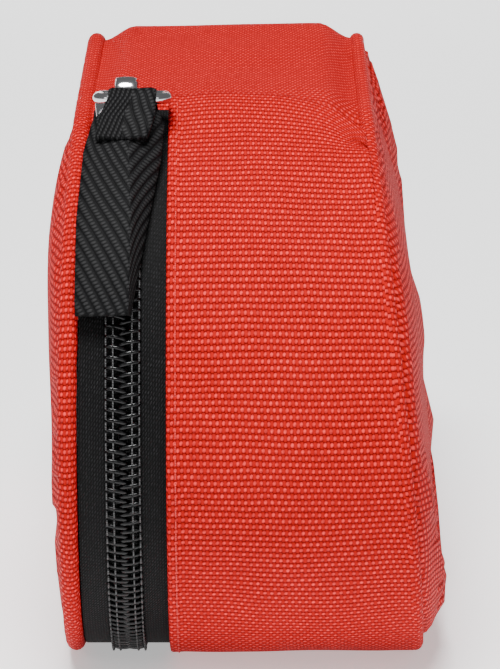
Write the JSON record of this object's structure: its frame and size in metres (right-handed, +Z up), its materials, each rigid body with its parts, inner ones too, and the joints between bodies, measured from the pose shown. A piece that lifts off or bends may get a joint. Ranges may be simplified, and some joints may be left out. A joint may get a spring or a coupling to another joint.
{
  "type": "first aid kit",
  "caption": "Soft zipped first aid pouch with round ends, padded panels, a coil zip round ends and base, and bandages, packs and scissors held inside.",
  "frame": {"origin": "on the base, under the middle of the kit", "axes": "+Z up from the base to the hinge gusset, +Y along the length away from the slider, +X from the lid to the back panel"},
  "size_m": [0.0738, 0.178, 0.1152],
  "materials": {
    "red_fabric": "coarse woven polyester, matt with a slight sheen",
    "red_piping": "self-fabric covered cord",
    "black_webbing": "herringbone woven tape",
    "zip_nylon": "semi-gloss nylon monofilament",
    "zip_chrome": "polished plating",
    "steel": "brushed",
    "grey_lining": "plain thin lining cloth",
    "black_mesh": "open knitted mesh and elastic",
    "white_cotton": "soft cotton gauze",
    "crepe": "crinkled elastic crepe",
    "paper_wrap": "sealed paper and film wrapper",
    "foil_wrap": "crinkled metallised film",
    "nitrile": "soft matt nitrile",
    "white_plastic": "moulded gloss"
  },
  "bodies": {
    "bag_base": {"hinge_gusset": "red_fabric", "long_gusset": "red_fabric", "back_panel": "red_fabric", "back_piping": "red_piping", "gusset_lining": "grey_lining", "back_lining": "grey_lining", "back_pocket": "grey_lining", "base_zip_tape": "black_webbing", "lid_zip_tape_start": "black_webbing", "base_zip_coil": "zip_nylon", "lid_zip_coil_start": "zip_nylon", "crepe_bandage": "crepe", "gauze_bandage_1": "white_cotton", "gauze_bandage_2": "white_cotton", "crepe_bandage_loop": "black_mesh", "gauze_bandage_1_loop": "black_mesh", "gauze_bandage_2_loop": "black_mesh", "tape_spool": "white_plastic", "adhesive_tape": "white_cotton", "triangular_bandage_pack": "paper_wrap", "foil_blanket_pack": "foil_wrap", "glove_pack": "nitrile", "wound_dressing_pack": "paper_wrap", "tweezers": "steel"},
    "lid": {"front_panel": "red_fabric", "front_piping": "red_piping", "lid_lining": "grey_lining", "lid_zip_tape": "black_webbing", "lid_zip_coil": "zip_nylon", "lid_pocket": "black_mesh", "lid_pocket_binding": "black_mesh", "wipe_sachets": "foil_wrap", "plaster_wallet": "paper_wrap", "scissor_half_fixed": "steel", "scissor_screw": "steel", "scissor_keeper": "black_mesh"},
    "slider": {"slider_body": "zip_chrome", "slider_crown": "zip_chrome"},
    "ring": {"pull_ring": "zip_chrome"},
    "tab": {"pull_tab": "black_webbing"},
    "scissor_blade": {"scissor_half_moving": "steel"}
  },
  "joints": [
    {"name": "lid_open", "type": "hinge", "parent": "bag_base", "child": "lid", "pos_m": [-0.0316, 0, 0.1082], "axis": [0, 1, 0], "range_deg": [0, 150]},
    {"name": "slider_travel", "type": "hinge", "parent": "bag_base", "child": "slider", "pos_m": [-0.0235, -0.033, 0.054], "axis": [1, 0, 0], "range_deg": [0, 80]},
    {"name": "pull_ring_flip", "type": "hinge", "parent": "slider", "child": "ring", "pos_m": [-0.0235, -0.04807, 0.11151], "axis": [-1, 0, 0], "range_deg": [0, 150]},
    {"name": "pull_tab_swing", "type": "hinge", "parent": "ring", "child": "tab", "pos_m": [-0.0235, -0.05698, 0.11276], "axis": [-1, 0, 0], "range_deg": [0, 60]},
    {"name": "scissors_open", "type": "hinge", "parent": "lid", "child": "scissor_blade", "pos_m": [-0.0284, -0.002, 0.07], "axis": [-1, 0, 0], "range_deg": [0, 45]}
  ]
}
